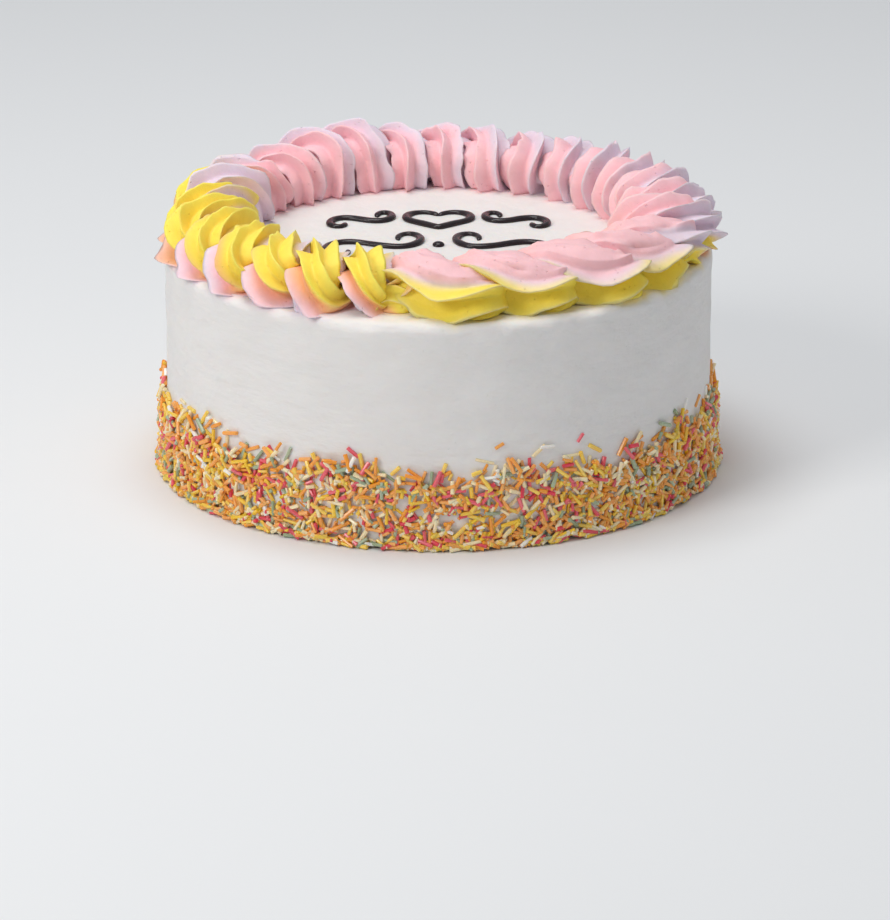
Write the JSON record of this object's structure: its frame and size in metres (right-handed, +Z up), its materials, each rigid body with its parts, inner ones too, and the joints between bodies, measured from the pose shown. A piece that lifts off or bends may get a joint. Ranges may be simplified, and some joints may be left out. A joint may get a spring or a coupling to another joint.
{
  "type": "birthday cake",
  "caption": "Round white iced birthday cake with a piped rope border in pink, lavender and yellow, a band of sugar strands round its foot and a dark gel heart and scrolls.",
  "frame": {"origin": "middle of the flat underside, on the surface that the cake stands on", "axes": "+Z up, through the flat top; -Y is the front, where the first large loop of the border starts; +X is to the right seen from the front"},
  "size_m": [0.2164, 0.2146, 0.1136],
  "materials": {
    "white_icing": "matt smoothed buttercream",
    "piped_icing": "matt piped buttercream, pink, lavender, yellow and orange side by side",
    "dark_gel": "glossy piping gel"
  },
  "bodies": {
    "root": {"iced_cake": "white_icing", "piped_border": "piped_icing", "gel_heart": "dark_gel", "gel_scroll_upper_left": "dark_gel", "gel_scroll_upper_right": "dark_gel", "gel_scroll_lower_left": "dark_gel", "gel_scroll_lower_right": "dark_gel", "gel_dot_front": "dark_gel", "gel_dot_middle": "dark_gel", "gel_dot_left": "dark_gel", "gel_dot_right": "dark_gel"}
  },
  "joints": []
}
